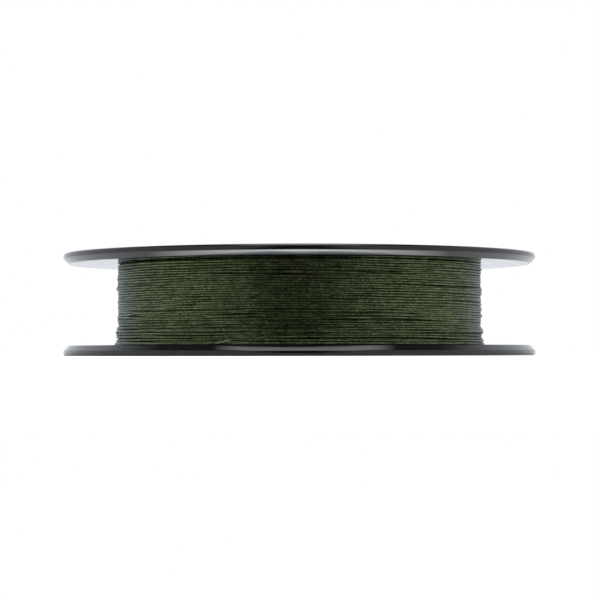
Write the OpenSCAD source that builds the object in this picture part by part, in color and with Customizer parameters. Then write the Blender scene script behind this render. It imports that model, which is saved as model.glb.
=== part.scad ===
// Fishing line spool, lying flat on its rear flange. Units are millimetres.
// Two flanges snap into the ends of a moulded core drum, and the drum carries the wound line.
// +Z is the spool's axis, and the origin is the centre of the face that the spool stands on.

/* [Flanges] */
// Outside diameter of both flanges
flange_d = 95; // [90:0.5:110]
// Thickness of a flange at its rim
flange_t = 2.1; // [1.9:0.05:3]
// Space between the two flanges, where the line is wound
winding_w = 16.25; // [14:0.05:30]
// Width of the bevel on a rim's inner edge, where the line slides over it
bevel_w = 1.16; // [1:0.01:1.2]
// Tilt of the bevel from the rim's face
bevel_tilt = 43.8; // [40:0.2:50]
// Radius of the round between the rim's face and the bevel
bevel_round = 0.25; // [0.15:0.05:0.6]
// Radius of the round between the bevel and the flange's inner face
inner_round = 0.25; // [0.2:0.05:0.4]
// Radius of the small round on a rim's outer edge
outer_round = 0.5; // [0.2:0.05:0.6]

/* [Faces] */
// Width of the raised ring round each outer face
rest_ring_w = 3.2; // [2:0.1:4]
// Depth of the recess in each outer face
face_recess = 0.45; // [0.3:0.05:0.8]
// Diameter of the raised boss round the hub
boss_d = 24; // [20:0.5:26]

/* [Labels] */
// Bare face between the line notch and a label's edge
label_margin = 0.5; // [0.3:0.1:12]
// Diameter of the hole in a label
label_hole_d = 27; // [26.5:0.5:34]
// Thickness of a label's film
label_t = 0.2; // [0.1:0.05:0.25]

/* [Core drum] */
// Outside diameter of the drum that the line is wound on
drum_d = 62; // [56:0.5:66]
// Thickness of the drum's wall
drum_wall = 1.8; // [1.5:0.1:2.6]
// Thickness of the web across the middle of the drum
web_t = 1.6; // [1.2:0.1:2.4]
// Number of ribs on each side of the web
rib_count = 6; // [3:1:8]
// Thickness of a rib
rib_t = 1.4; // [1:0.1:2]
// Outside diameter of the hub tube
hub_d = 14.8; // [14:0.2:15.6]
// Diameter of the bore that a spindle goes through
bore_d = 10.4; // [8:0.1:10.8]
// Chamfer at each mouth of the bore
bore_chamfer = 0.4; // [0.2:0.1:0.6]
// Width of each of the two drive slots in the bore
keyway_w = 2.2; // [1.5:0.1:3]
// Depth of a drive slot beyond the bore
keyway_depth = 1.1; // [0.5:0.1:1.2]

/* [Snap rings] */
// Height of a snap ring above its flange
snap_ring_h = 3; // [2.6:0.1:3.4]
// Thickness of a snap ring's wall
snap_ring_t = 1.2; // [1:0.1:1.6]
// How far a snap ring's bead stands into its groove in the drum
snap_bead = 0.35; // [0.2:0.05:0.5]
// Number of slots that let a snap ring flex
snap_slots = 12; // [6:1:16]
// Width of a slot in a snap ring
snap_slot_w = 1.2; // [0.8:0.1:1.6]
// Thickness of the collar on a flange round the hub tube
collar_t = 2.2; // [1.5:0.1:2.6]
// Height of the ribs on a flange's inner face
flange_rib_h = 2; // [1:0.1:2.4]

/* [Line notch] */
// Width of the slit in the front flange that holds the line's end
notch_w = 0.6; // [0.4:0.1:1]
// Length of the slit from the rim inwards
notch_len = 6; // [4:0.5:7]
// Diameter of the relief hole at the slit's inner end
notch_hole_d = 2; // [1.4:0.2:2.6]

/* [Line] */
// Width of the line, which the winding tension flattens
line_w = 0.48; // [0.3:0.02:0.6]
// Thickness of the flattened line
line_t = 0.33; // [0.2:0.01:0.4]
// Diameter of the finished winding
wound_d = 73.3; // [70:0.1:84]
// Width of the adhesive tape that holds the first turns to the drum
tape_w = 12; // [6:0.5:13]
// Thickness of the tape
tape_t = 0.12; // [0.08:0.02:0.2]
// Number of last turns, which lie on top beside the rear flange
last_turns = 5; // [3:1:10]
// Length of the line's cut end, which stands out of the last turns
end_len = 2.4; // [1.5:0.1:4]
// Height of the cut end's middle above the edge of the last turns
end_rise = 0.6; // [0.4:0.05:1.4]

/* [Hidden] */
$fn = 128;
spool_h = winding_w + 2 * flange_t;    // the spool's whole height
flange_r = flange_d / 2;
drum_r = drum_d / 2;
drum_in_r = drum_r - drum_wall;
hub_r = hub_d / 2;
fit_gap = 0.08;                        // radial clearance of the snap rings and the hub tube
wrap_gap = 0.03;                       // clearance between the line and what it is wound on
end_gap = 0.3;                         // free height over the ends of the core drum's ribs
rear_gap = 0.25;                       // bare strip between the line and the rear flange
front_gap = 0.05;                      // bare strip between the line and the front flange
bead_at = 2;                           // height of a snap bead's middle above its flange
bead_half = 0.5;                       // half of a snap bead's height
groove_slack = 0.1;                    // how far a groove is larger than its bead, each way
collar_r = hub_r + fit_gap + collar_t;
// length of the bevel's straight part, and the bevel's whole height
bevel_flat = (bevel_w - bevel_round * (1 - cos(bevel_tilt)) - inner_round * cos(bevel_tilt))
             / sin(bevel_tilt);
bevel_h = bevel_round * sin(bevel_tilt) + bevel_flat * cos(bevel_tilt)
          + inner_round * (1 - sin(bevel_tilt));
rim_face_top = flange_t - bevel_h;     // where the bevel's round starts
outer_r = min(outer_round, rim_face_top);
notch_at = flange_r - notch_len;       // radius of the relief hole's middle
label_r = notch_at - notch_hole_d / 2 - label_margin;
snap_r = drum_in_r - fit_gap;          // outside radius of a snap ring
winding_in_r = drum_r + tape_t + wrap_gap;
wound_r = wound_d / 2;
winding_z0 = flange_t + rear_gap;
winding_z1 = flange_t + winding_w - front_gap;
rib_start = flange_t + snap_ring_h + end_gap;
end_angle = -110;                      // where the cut end lies, round the axis
end_climb = 14;                        // how steeply the cut end crosses the last turns

// Points of an arc from angle a0 to angle a1, for outlines
function arc(cx, cy, r, a0, a1, steps = 8) =
    [for (i = [0:steps]) let (a = a0 + (a1 - a0) * i / steps) [cx + r * cos(a), cy + r * sin(a)]];

// A flange's outline from the hub hole to the rim, with its outer face on z = 0
function flange_outline() = concat(
    [[hub_r + fit_gap, flange_t], [hub_r + fit_gap, 0], [boss_d / 2, 0], [boss_d / 2, face_recess],
     [flange_r - rest_ring_w, face_recess], [flange_r - rest_ring_w, 0]],
    arc(flange_r - outer_r, outer_r, outer_r, -90, 0),
    arc(flange_r - bevel_round, rim_face_top, bevel_round, 0, bevel_tilt, 6),
    arc(flange_r - bevel_w, flange_t - inner_round, inner_round, bevel_tilt, 90, 4));

// A snap ring's outline, with the bead that clicks into the drum's groove
function snap_ring_outline() =
    [[snap_r - snap_ring_t, flange_t], [snap_r, flange_t], [snap_r, flange_t + bead_at - bead_half],
     [snap_r + snap_bead, flange_t + bead_at], [snap_r, flange_t + bead_at + bead_half],
     [snap_r, flange_t + snap_ring_h], [snap_r - snap_ring_t, flange_t + snap_ring_h]];

// The outline of the groove in one end of the drum
function groove_outline() =
    [[drum_in_r - snap_bead, flange_t + bead_at - bead_half - groove_slack - snap_bead],
     [snap_r + snap_bead + groove_slack, flange_t + bead_at],
     [drum_in_r - snap_bead, flange_t + bead_at + bead_half + groove_slack + snap_bead]];

// The outline of `turns` turns of line side by side: rounded ridges from radius r0 out to r1
function turns_outline(r0, r1, z0, z1, turns) =
    let (pitch = (z1 - z0) / turns, valley = line_t / 3)
    concat([[r0, z1], [r0, z0]],
           [for (i = [0:turns - 1], p = [[0, valley], [0.22, 0], [0.78, 0]])
                [r1 - p[1], z0 + (i + p[0]) * pitch]],
           [[r1 - line_t / 3, z1]]);

module tube(r_out, r_in, z0, z1) {
    translate([0, 0, z0])
        difference() {
            cylinder(r = r_out, h = z1 - z0);
            translate([0, 0, -1])
                cylinder(r = r_in, h = z1 - z0 + 2);
        }
}

// `count` radial bars round the axis, each from radius r0 to r1
module spokes(count, r0, r1, width, z0, z1, turn = 0) {
    for (i = [0:count - 1])
        rotate([0, 0, turn + i * 360 / count])
            translate([r0, -width / 2, z0])
                cube([r1 - r0, width, z1 - z0]);
}

// What both flanges share, with the outer face down on z = 0
module flange_moulding() {
    rotate_extrude()
        polygon(flange_outline());
    tube(collar_r, hub_r + fit_gap, flange_t, flange_t + flange_rib_h);
    difference() {
        rotate_extrude()
            polygon(snap_ring_outline());
        spokes(snap_slots, snap_r - 2 * snap_ring_t, drum_r, snap_slot_w,
               flange_t, flange_t + snap_ring_h + 1, 180 / snap_slots);
    }
    spokes(rib_count, collar_r - collar_t / 2, snap_r - snap_ring_t / 2, rib_t,
           flange_t, flange_t + flange_rib_h, 180 / rib_count);
}

// Places a flange or label that is drawn outer face down as the front one, outer face up
module at_front() {
    translate([0, 0, spool_h])
        mirror([0, 0, 1])
            children();
}

module rear_flange() {
    color("#18181b")
        flange_moulding();
}

module front_flange() {
    color("#18181b")
        at_front()
            difference() {
                flange_moulding();
                // the slit that holds the line's end, and its relief hole
                translate([-notch_w / 2, notch_at, -1])
                    cube([notch_w, notch_len + 1, flange_t + 2]);
                translate([0, notch_at, -1])
                    cylinder(d = notch_hole_d, h = flange_t + 2, $fn = 32);
            }
}

module hub_tube() {
    difference() {
        cylinder(r = hub_r, h = spool_h);
        translate([0, 0, -1])
            cylinder(d = bore_d, h = spool_h + 2);
        for (z = [0, spool_h])
            translate([0, 0, z])
                mirror([0, 0, z > 0 ? 1 : 0])
                    rotate_extrude()
                        polygon([[0, -1], [bore_d / 2 + bore_chamfer + 1, -1],
                                 [bore_d / 2, bore_chamfer], [0, bore_chamfer]]);
        for (side = [0, 180])
            rotate([0, 0, side])
                translate([0, -keyway_w / 2, -1])
                    cube([bore_d / 2 + keyway_depth, keyway_w, spool_h + 2]);
    }
}

module core_drum() {
    color("#1d1d20") {
        difference() {
            tube(drum_r, drum_in_r, flange_t, spool_h - flange_t);
            rotate_extrude()
                polygon(groove_outline());
            at_front()
                rotate_extrude()
                    polygon(groove_outline());
        }
        hub_tube();
        tube(drum_in_r + drum_wall / 2, hub_r - 1, (spool_h - web_t) / 2, (spool_h + web_t) / 2);
        spokes(rib_count, hub_r - 1, drum_in_r + drum_wall / 2, rib_t, rib_start, spool_h - rib_start);
    }
}

module arbor_tape() {
    color("#c9b98a")
        tube(drum_r + tape_t, drum_r, (spool_h - tape_w) / 2, (spool_h + tape_w) / 2);
}

module line_winding() {
    color("#3b4428")
        rotate_extrude()
            polygon(turns_outline(winding_in_r, wound_r, winding_z0, winding_z1,
                                  round((winding_z1 - winding_z0) / line_w)));
}

module line_last_turns() {
    color("#414b2c")
        rotate_extrude()
            polygon(turns_outline(wound_r, wound_r + line_t, winding_z0,
                                  winding_z0 + last_turns * line_w, last_turns));
}

module line_end() {
    end_r = wound_r + line_t + line_t / 2 + wrap_gap;
    color("#57613c")
        rotate([0, 0, end_angle])
            translate([end_r, 0, winding_z0 + end_rise])
                rotate([-90 + end_climb, 0, 0])
                    cylinder(d = line_t, h = end_len, center = true, $fn = 24);
}

module label() {
    tube(label_r, label_hole_d / 2, face_recess - label_t, face_recess);
}

module front_label() {
    color("#2f3a26")
        at_front()
            label();
}

module rear_label() {
    color("#9a9c98")
        label();
}

front_flange();
rear_flange();
core_drum();
arbor_tape();
line_winding();
line_last_turns();
line_end();
front_label();
rear_label();
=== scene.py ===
# %% [markdown]
# # A spool of braided fishing line
# Two glossy black flanges are snapped to the ends of a core drum, and dark olive braid is wound
# between them. The packed model gives every size, and this script dresses it: it lathes the
# flanges, winds the line turn by turn, prints the labels and lights a small studio. Lengths are in
# metres, as everywhere in Blender, so MM turns a size in millimetres into one.

# %% Load the frame
import math

import bpy
import numpy as np
from mathutils import Matrix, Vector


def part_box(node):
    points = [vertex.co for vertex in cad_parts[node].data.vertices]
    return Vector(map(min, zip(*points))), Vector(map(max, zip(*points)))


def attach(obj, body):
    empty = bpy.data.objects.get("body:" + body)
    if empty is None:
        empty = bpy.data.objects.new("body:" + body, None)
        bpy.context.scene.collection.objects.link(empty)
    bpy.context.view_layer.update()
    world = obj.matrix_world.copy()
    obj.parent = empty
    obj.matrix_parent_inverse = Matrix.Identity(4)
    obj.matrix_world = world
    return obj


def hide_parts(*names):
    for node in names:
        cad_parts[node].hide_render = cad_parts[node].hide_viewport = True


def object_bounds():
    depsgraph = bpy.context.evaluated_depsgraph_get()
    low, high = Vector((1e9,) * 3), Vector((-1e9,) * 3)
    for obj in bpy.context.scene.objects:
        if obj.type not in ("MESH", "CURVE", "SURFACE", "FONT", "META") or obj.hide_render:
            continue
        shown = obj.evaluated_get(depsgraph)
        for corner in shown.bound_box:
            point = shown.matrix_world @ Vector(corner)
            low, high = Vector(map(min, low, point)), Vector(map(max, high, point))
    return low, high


MM = 0.001
FULL_TURN = 2 * np.pi

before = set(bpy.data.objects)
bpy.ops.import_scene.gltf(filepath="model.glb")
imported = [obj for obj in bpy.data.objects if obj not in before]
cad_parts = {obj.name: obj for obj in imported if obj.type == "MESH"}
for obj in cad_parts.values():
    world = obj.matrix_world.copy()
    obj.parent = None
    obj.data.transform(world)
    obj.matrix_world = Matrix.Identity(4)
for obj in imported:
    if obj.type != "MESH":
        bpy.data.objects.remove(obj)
cad_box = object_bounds()
scene = bpy.context.scene
print("CAD nodes:", ", ".join(sorted(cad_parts)))

# %% [markdown]
# ## The camera
# The lens is almost level with the table and half a metre away, so the spool is seen edge on and
# each rim is a thin flat ellipse. A camera can be aimed by a constraint at a target, but a matrix
# made of a place, a tilt and a roll leaves nothing live in the scene. The lens tilts up a little
# to bring the spool to the picture's middle.

# %% Place the camera
EYE = (0.135 * MM, -458.7 * MM, 0.67 * MM)
LENS = 136.1
SENSOR = 36
NEAREST, FARTHEST = 0.02, 20
LEVEL = math.radians(90)
TILT_UP = math.radians(1.322)
ROLL = math.radians(-0.086)

camera_data = bpy.data.cameras.new("camera")
camera_data.lens = LENS
camera_data.sensor_width = SENSOR
camera_data.clip_start = NEAREST
camera_data.clip_end = FARTHEST
camera = bpy.data.objects.new("camera", camera_data)
scene.collection.objects.link(camera)
tilted = Matrix.Rotation(LEVEL + TILT_UP, 4, "X")
camera.matrix_world = Matrix.Translation(EYE) @ tilted @ Matrix.Rotation(ROLL, 4, "Z")
scene.camera = camera
scene.view_settings.view_transform = "Standard"
print("camera stands", round(-EYE[1] / MM), "mm from the spool's axis")

# %% [markdown]
# ## Shader arithmetic
# A finish is a formula: a mask times a colour, a wave plus some noise. Wiring that by hand hides
# the formula, so a Wire wraps one socket, and +, -, * and / on it add the Math nodes.

# %% Do arithmetic on a socket
class Wire:
    """One number socket of a node tree. Arithmetic on it adds Math nodes."""

    def __init__(self, shader, socket):
        self.shader = shader
        self.socket = socket

    def math(self, operation, *others):
        inputs = dict(enumerate((self, *others)))
        return self.shader.node("Math", {"operation": operation}, inputs)

    def __add__(self, other):
        return self.math("ADD", other)

    def __sub__(self, other):
        return self.math("SUBTRACT", other)

    def __mul__(self, other):
        return self.math("MULTIPLY", other)

    def __truediv__(self, other):
        return self.math("DIVIDE", other)

    def __rsub__(self, other):
        return self.shader.node("Math", {"operation": "SUBTRACT"}, {0: other, 1: self})

    __radd__ = __add__
    __rmul__ = __mul__

    def clamped(self):
        return self.shader.node("Clamp", {}, {"Value": self})


print("a Wire adds a Math node for each +, -, * and /")

# %% [markdown]
# ## Every other node
# All nodes come from one method, Shader.node(), which takes a node's type, its settings and what
# goes into its sockets. The short methods after it name the commonest nodes. A Mix node has
# sockets for numbers, vectors and colours side by side, so its colour ones are picked by number.

# %% Add nodes and make finishes
MIX_FACTOR, MIX_FIRST, MIX_SECOND, MIX_RESULT = 0, 6, 7, 2


class Shader:
    """A node tree that is being written."""

    def __init__(self, tree):
        self.tree = tree
        tree.nodes.clear()

    def plug(self, socket, value):
        """A Wire is linked, and a number, or a colour without its alpha, is set."""
        if isinstance(value, Wire):
            self.tree.links.new(value.socket, socket)
        elif isinstance(value, tuple) and socket.type == "RGBA":
            socket.default_value = (*value, 1)
        else:
            socket.default_value = value

    def node(self, kind, settings, inputs, out=0):
        node = self.tree.nodes.new("ShaderNode" + kind)
        for name, value in settings.items():
            setattr(node, name, value)
        for name, value in inputs.items():
            self.plug(node.inputs[name], value)
        return Wire(self, node.outputs[out]) if node.outputs else None

    def place(self):
        """Object coordinates: where a point lies, in metres."""
        return self.node("TexCoord", {}, {}, out="Object")

    def xyz(self, vector):
        split = self.node("SeparateXYZ", {}, {"Vector": vector}).socket.node
        return [Wire(self, output) for output in split.outputs]

    def vector(self, x, y, z=0.0):
        return self.node("CombineXYZ", {}, {"X": x, "Y": y, "Z": z})

    def colour(self, red, green, blue):
        return self.node("CombineColor", {}, {"Red": red, "Green": green, "Blue": blue})

    def mix(self, factor, first, second):
        inputs = {MIX_FACTOR: factor, MIX_FIRST: first, MIX_SECOND: second}
        return self.node("Mix", {"data_type": "RGBA"}, inputs, out=MIX_RESULT)

    def noise(self, place, scale, detail=2, roughness=0.5):
        inputs = {"Vector": place, "Scale": scale, "Detail": detail, "Roughness": roughness}
        return self.node("TexNoise", {}, inputs)

    def bump(self, strength, distance, height):
        inputs = {"Strength": strength, "Distance": distance, "Height": height}
        return self.node("Bump", {}, inputs)


def finish(name, write):
    """A material whose Principled sockets are what write(shader) returns, by socket name."""
    material = bpy.data.materials.new(name)
    material.use_nodes = True
    shader = Shader(material.node_tree)
    surface = shader.node("BsdfPrincipled", {}, write(shader))
    shader.node("OutputMaterial", {}, {"Surface": surface})
    print("finish", name, "has", len(material.node_tree.nodes), "nodes")
    return material


print("a Shader has", ", ".join(name for name in vars(Shader) if not name.startswith("_")))

# %% [markdown]
# ## The tent
# Black gloss shows what stands round it, so the room matters more than the lamp. It is a white
# tent with one dark gap, where the camera and the person behind it stand. Sheets could be hung for
# it, but the world draws the same from the direction alone and casts no hard shadow. The camera
# itself sees plain white.

# %% Draw the white tent and its dark gap
GAP_HALF_WIDTH = 16.0
GAP_SOFTNESS = 9.0
GAP_FLARE = 40.0
GAP_LEVEL = 0.05
SIDE_LEVEL = 0.78
BACK_LEVEL = 1.0
BACK_FROM, BACK_SOFTNESS = 60, 55
ROOF_LEVEL = 0.10
ROOF_FROM, ROOF_SOFTNESS = 0.58, 0.22
TENT_TINT = (0.95, 0.99, 1.05)


def paint_tent(shader):
    """White from each side and the back, dark over the softbox and in a gap round -Y.

    The gap is narrow at the lens's height and wider above and below it. Its angles, and those of
    the back, are degrees from -Y, and the roof starts at a height of the direction's own z.
    """
    direction = shader.node("TexCoord", {}, {}, out="Generated")
    x, y, z = shader.xyz(direction)
    off_axis = x.math("ABSOLUTE").math("ARCTAN2", y * -1) * math.degrees(1)
    half_width = z.math("ABSOLUTE") * GAP_FLARE + (GAP_HALF_WIDTH - GAP_SOFTNESS)
    gap_edge = (off_axis - half_width) / (2 * GAP_SOFTNESS)
    open_side = gap_edge.clamped()
    towards_back = ((off_axis - BACK_FROM) / BACK_SOFTNESS).clamped()
    side = towards_back * (BACK_LEVEL - SIDE_LEVEL) + SIDE_LEVEL
    walls = open_side * (side - GAP_LEVEL) + GAP_LEVEL
    roof = ((z - ROOF_FROM) / ROOF_SOFTNESS).clamped()
    return roof * (ROOF_LEVEL - walls) + walls


world = bpy.data.worlds.new("white_tent")
world.use_nodes = True
scene.world = world
sky = Shader(world.node_tree)
seen = sky.node("LightPath", {}, {}, out="Is Camera Ray")
tent = paint_tent(sky)
strength = seen + (1 - seen) * tent
tint = sky.mix(seen, TENT_TINT, (1.0, 1.0, 1.0))
white = sky.node("Background", {}, {"Color": tint, "Strength": strength})
sky.node("OutputWorld", {}, {"Surface": white})
print("world drawn with", len(world.node_tree.nodes), "nodes")

# %% [markdown]
# ## The softbox
# The one lamp hangs overhead. The lower rim mirrors it as a bright line, and its front half, which
# is brighter, gives the turns in the middle their soft shine. An area light could do the same, but
# a glowing sheet is painted as every other piece is.

# %% Hang the softbox
SOFTBOX_LEVEL = 2.4
SOFTBOX_FRONT = 8.5
SOFTBOX_HALF = (0.24, 0.25)
SOFTBOX_EDGE = 0.07
SOFTBOX_PLACE = (0.015, -0.13, 0.5)
SOFTBOX_TURN = math.radians(16)


def paint_softbox(shader):
    """The level rises from the middle to the front edge, and falls to nothing at the two ends."""
    x, y, _ = shader.xyz(shader.place())
    ends = ((SOFTBOX_HALF[0] - x.math("ABSOLUTE")) / SOFTBOX_EDGE).clamped()
    front = (y / -SOFTBOX_HALF[1]).clamped()
    level = ends * (front * (SOFTBOX_FRONT - SOFTBOX_LEVEL) + SOFTBOX_LEVEL)
    return {
        "Base Color": (0.0, 0.0, 0.0),
        "Emission Color": shader.colour(level, level, level),
        "Emission Strength": 1.0,
    }


def add_sheet(name, corners, faces, material):
    """A flat sheet of the studio, which isn't part of the spool."""
    mesh = bpy.data.meshes.new(name)
    mesh.from_pydata(corners, [], faces)
    mesh.materials.append(material)
    sheet = bpy.data.objects.new(name, mesh)
    scene.collection.objects.link(sheet)
    return sheet


half_x, half_y = SOFTBOX_HALF
panel = [(half_x, -half_y, 0), (-half_x, -half_y, 0), (-half_x, half_y, 0), (half_x, half_y, 0)]
softbox = add_sheet("softbox", panel, [(0, 1, 2, 3)], finish("softbox", paint_softbox))
softbox.matrix_world = Matrix.Translation(SOFTBOX_PLACE) @ Matrix.Rotation(SOFTBOX_TURN, 4, "X")
softbox.visible_camera = False
print("softbox hangs", round(SOFTBOX_PLACE[2] / MM), "mm over the table")

# %% [markdown]
# ## The table
# The table is plain white and keeps the spool's shadow. It ends some way behind the spool, because
# the flange's underside mirrors that far edge at a very flat angle. More light would whiten it,
# but would pale the spool too, so the camera and the gloss see it lifted by a little emission
# instead. In front of the spool the gloss sees no table but the dark gap.

# %% Lay the table
TABLE_HALF = 1.1
TABLE_END = 0.47
TABLE_SPLIT = -0.050
TABLE_DROP = 0.02 * MM
TABLE_LIFT = 0.5
TABLE_GLOSS_LIFT = (0.31, 0.33, 0.36)


def matt_and_lit(colour, lift):
    """A dull surface that also glows a little, by its lift."""
    return {"Base Color": colour, "Roughness": 0.6, "Emission Color": lift, "Emission Strength": 1}


def paint_table(shader):
    """Plain white, lifted evenly for the camera and a little bluer for the gloss."""
    by_camera = shader.node("LightPath", {}, {}, out="Is Camera Ray")
    by_gloss = shader.node("LightPath", {}, {}, out="Is Glossy Ray")
    lift = shader.colour(*[by_camera * TABLE_LIFT + by_gloss * level for level in TABLE_GLOSS_LIFT])
    return matt_and_lit((0.82, 0.82, 0.82), lift)


def add_table(name, from_y, to_y, material):
    """A rectangle just under z = 0, as wide as the table, from one y to another."""
    corners = [(-TABLE_HALF, from_y, -TABLE_DROP), (TABLE_HALF, from_y, -TABLE_DROP)]
    corners += [(TABLE_HALF, to_y, -TABLE_DROP), (-TABLE_HALF, to_y, -TABLE_DROP)]
    return add_sheet(name, corners, [(0, 1, 2, 3)], material)


table_white = finish("table_white", paint_table)
add_table("table", TABLE_SPLIT, TABLE_END, table_white)
add_table("table_front", -TABLE_HALF, TABLE_SPLIT, table_white).visible_glossy = False
print("table ends", round(TABLE_END / MM), "mm behind the axis")

# %% [markdown]
# ## The reflector
# A curved silver card lies close in front of the spool. It is linked to the front flange alone,
# whose bevel mirrors it at a flat angle as the upper rim's bright line. The card is dim and bluish
# near the rim and bright beyond a bowed edge, so the line is bluish below and white above. A
# brighter room would draw that line too, but all along the rim and over everything else.

# %% Curve the reflector round the rim
SILVER_NEAR = (0.9, 1.15, 1.5)
SILVER_FAR = 11.8
SILVER_FALL = 270.0
SILVER_PEAK = 5 * MM
SILVER_STEP = 48.37 * MM
SILVER_EDGE = 0.2 * MM
SILVER_BOW = 0.83
SILVER_RIM = (47.55 * MM, 53 * MM)
SILVER_WIDER = 7 * MM
SILVER_END = 85.0
SILVER_STEPS = 40


def paint_silver(shader):
    """Near colour inside the bowed edge. Outside it the level falls in a straight line with |x|.

    The bowed edge is SILVER_STEP plus SILVER_BOW times x squared from the axis. The peak of the
    fall is rounded over SILVER_PEAK, and it stops at the table's level.
    """
    x, y, _ = shader.xyz(shader.place())
    radius = (x * x + y * y).math("SQRT")
    edge = x * x * SILVER_BOW + SILVER_STEP
    out = ((radius - edge) / SILVER_EDGE).clamped()
    off_middle = (x * x + SILVER_PEAK ** 2).math("SQRT")
    fall = off_middle * -SILVER_FALL + SILVER_FAR
    far = shader.colour(*[fall.math("MAXIMUM", level) for level in TABLE_GLOSS_LIFT])
    return matt_and_lit((0.85, 0.85, 0.85), shader.mix(out, SILVER_NEAR, far))


sweep = np.radians(np.linspace(-SILVER_END, SILVER_END, SILVER_STEPS))
outer_r = SILVER_RIM[1] + SILVER_WIDER * (1 - np.cos(sweep))
silver_r = np.stack([np.full(SILVER_STEPS, SILVER_RIM[0]), outer_r], axis=1)
across, towards = np.sin(sweep)[:, None], -np.cos(sweep)[:, None]
silver_points = np.stack([silver_r * across, silver_r * towards, 0 * silver_r], axis=-1)
silver_points = silver_points.reshape(-1, 3).tolist()
silver_faces = [(2 * i, 2 * i + 1, 2 * i + 3, 2 * i + 2) for i in range(SILVER_STEPS - 1)]
reflector = add_sheet("reflector", silver_points, silver_faces, finish("silver", paint_silver))
reflector.visible_camera = False
reflector.visible_diffuse = False
reflector.visible_shadow = False
print("reflector has", len(silver_faces), "faces over", round(2 * SILVER_END), "degrees")

# %% [markdown]
# ## Surfaces from arrays
# A piece is a grid of points that a formula gives. Its faces join neighbours on the grid. The
# second direction closes on itself, as round a tube, and the first may too, as once round the
# axis. Several closed shells may share one mesh, as the ribs and the plate of one moulding do.

# %% Turn grids of points into meshes
CRISP = 35


def grid_quads(rows, columns, wrap_rows):
    """Corner numbers of the quads of a grid: (i, j), (i+1, j), (i+1, j+1), (i, j+1)."""
    i = np.arange(rows if wrap_rows else rows - 1)[:, None]
    j = np.arange(columns)[None, :]
    near, far = i * columns, (i + 1) % rows * columns
    j_next = (j + 1) % columns
    return np.stack([near + j, far + j, far + j_next, near + j_next], axis=-1).reshape(-1, 4)


def shell(points, wrap_rows=False, caps=False):
    """One surface as (points, faces). Caps close the first and last row of an open tube."""
    rows, columns = points.shape[:2]
    faces = grid_quads(rows, columns, wrap_rows).tolist()
    if caps:
        faces.append(list(range(columns)))
        faces.append(list(range(rows * columns - 1, (rows - 1) * columns - 1, -1)))
    return points.reshape(-1, 3), faces


def add_piece(name, shells, material, sharp=None, uv=None):
    """A mesh object from shells. Edges steeper than `sharp` degrees stay crisp."""
    starts = np.cumsum([0] + [len(points) for points, _ in shells])
    corners = np.concatenate([points for points, _ in shells])
    faces = [[start + k for k in face]
             for start, (_, group) in zip(starts, shells) for face in group]
    mesh = bpy.data.meshes.new(name)
    mesh.from_pydata(corners.tolist(), [], faces)
    mesh.materials.append(material)
    mesh.shade_smooth()
    if sharp:
        mesh.set_sharp_from_angle(angle=math.radians(sharp))
    if uv is not None:
        corner_of_loop = np.empty(len(mesh.loops), np.int32)
        mesh.loops.foreach_get("vertex_index", corner_of_loop)
        layer = mesh.uv_layers.new(name="along_and_round")
        layer.data.foreach_set("uv", uv[corner_of_loop].astype(np.float32).ravel())
    piece = bpy.data.objects.new(name, mesh)
    scene.collection.objects.link(piece)
    print(name, "has", len(mesh.polygons), "faces")
    return piece


print("a grid of 3 by 4 points has", len(grid_quads(3, 4, wrap_rows=False)), "quads round a tube")

# %% [markdown]
# ## Profiles with true rounds
# Every edge of a moulding has a small radius, and it is that radius which catches the light. A
# Bevel modifier gives one width to many edges, but here each edge has its own. So a profile is
# written as sharp corners with a radius each, and rounded() swaps each corner for the arc that
# touches both of its sides. Two extra points close to each arc keep the flats flat when the
# shading is smoothed.

# %% Round a profile's corners
ARC_STEP = math.radians(9)
HOLD = 0.03 * MM


def rounded(corners):
    """A closed outline of (r, z, radius) corners with each corner turned into a tangent arc.

    The arc starts radius * tan(turn / 2) before the corner, and its middle lies one radius to the
    inner side of the incoming edge.
    """
    places = np.array([corner[:2] for corner in corners], float)
    outline = []
    for i, (_, _, radius) in enumerate(corners):
        before = places[i] - places[i - 1]
        after = places[(i + 1) % len(places)] - places[i]
        before /= np.hypot(*before)
        after /= np.hypot(*after)
        turn = math.atan2(before[0] * after[1] - before[1] * after[0], before @ after)
        reach = radius * math.tan(abs(turn) / 2)
        start = places[i] - reach * before
        side = math.copysign(1, turn)
        middle = start + side * radius * np.array([-before[1], before[0]])
        steps = max(2, int(abs(turn) / ARC_STEP) + 1)
        turned = np.linspace(0, turn, steps + 1)[:, None]
        spoke = start - middle
        crossed = np.array([-spoke[1], spoke[0]])
        outline.append((start - HOLD * before)[None])
        outline.append(middle + np.cos(turned) * spoke + np.sin(turned) * crossed)
        outline.append((places[i] + (reach + HOLD) * after)[None])
    return np.concatenate(outline)


def ring_section(inner, outer, low, high, radius):
    """The section of a plain ring: a rectangle from one radius to another, its corners rounded."""
    ends = ((inner, low), (outer, low), (outer, high), (inner, high))
    return rounded([(r, z, radius) for r, z in ends])


sample = ring_section(5 * MM, 8 * MM, 0, 2 * MM, 0.5 * MM)
print("a rectangle with round corners has", len(sample), "points")

# %% [markdown]
# ## Turned pieces and ribs
# Almost every moulding here is round, because its steel mould was turned on a lathe. So its
# section is carried round the axis, as the Screw modifier would, but in arrays, so that a part of
# a turn can be closed with caps. Ribs are the exception, and each is a plain bar that sinks into
# its neighbours.

# %% Turn a section about the axis
AROUND = 480
ALMOST = 0.999


def lathe(outline, around=AROUND, start=0.0, end=FULL_TURN):
    """Turns the outline about Z: (r, z) becomes (r cos t, r sin t, z). A part turn is capped."""
    whole = end - start > ALMOST * FULL_TURN
    turn = np.linspace(start, end, around, endpoint=not whole)[:, None]
    r, z = outline[:, 0][None], outline[:, 1][None]
    points = np.stack([r * np.cos(turn), r * np.sin(turn), z + 0 * turn], axis=-1)
    return shell(points, wrap_rows=whole, caps=not whole)


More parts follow.
